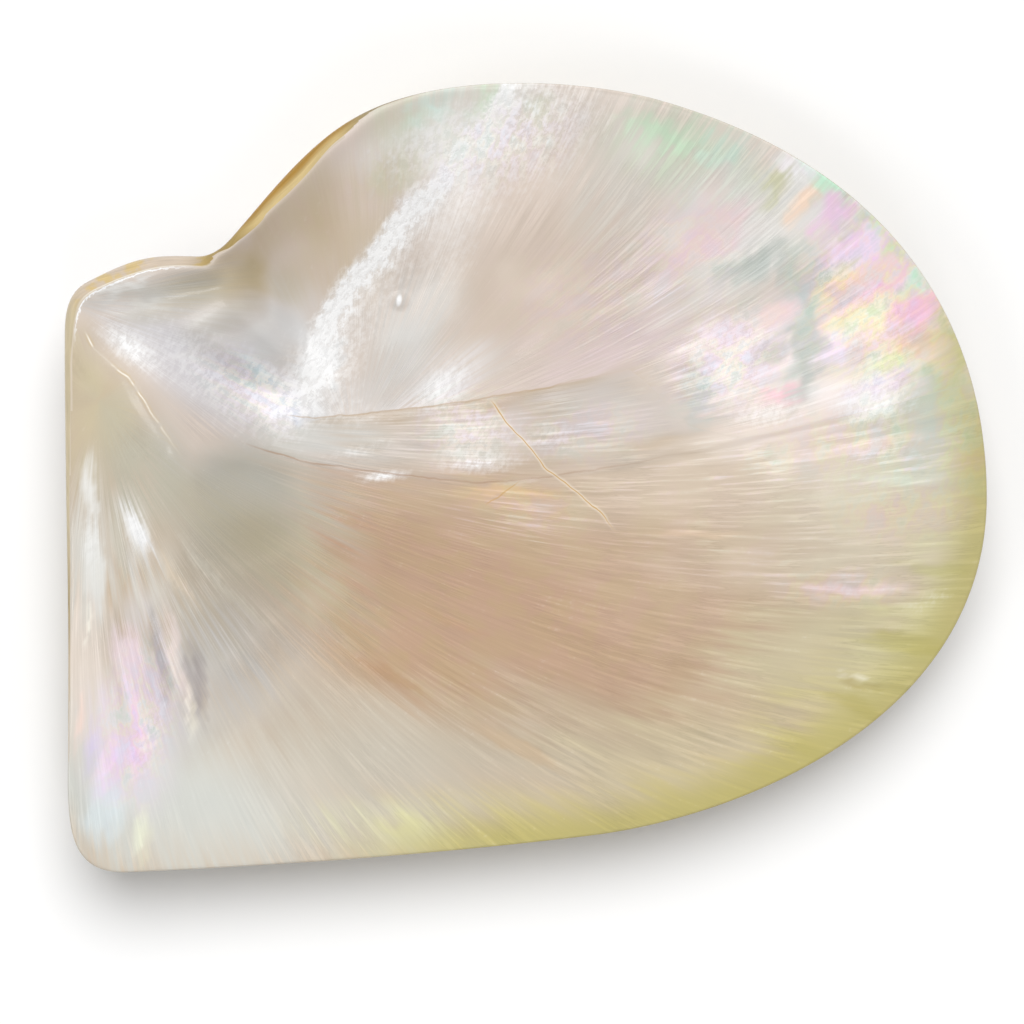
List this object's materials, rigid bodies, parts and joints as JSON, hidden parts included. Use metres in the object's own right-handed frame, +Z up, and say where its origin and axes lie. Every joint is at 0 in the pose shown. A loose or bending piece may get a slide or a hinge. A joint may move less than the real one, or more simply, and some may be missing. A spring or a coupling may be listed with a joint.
{
  "type": "pearl oyster shell",
  "caption": "Single polished pearl oyster valve lying hollow side up: straight hinge, small front ear, square rear wing, shallow nacre bowl and bevelled amber edge.",
  "frame": {"origin": "under the middle of the valve's box, on the surface that it rests on", "axes": "+X from the straight hinge to the round lower margin, +Y towards the small front ear's side, +Z up out of the hollow"},
  "size_m": [0.1506, 0.1288, 0.024],
  "materials": {
    "nacre": "Polished mother-of-pearl: silvery white, tan and gold in torn streaks with pink, lilac and mint glints, a warm amber bevelled edge, and a cream and gold polished outside with growth bands"
  },
  "bodies": {
    "root": {"shell_valve": "nacre"}
  },
  "joints": []
}
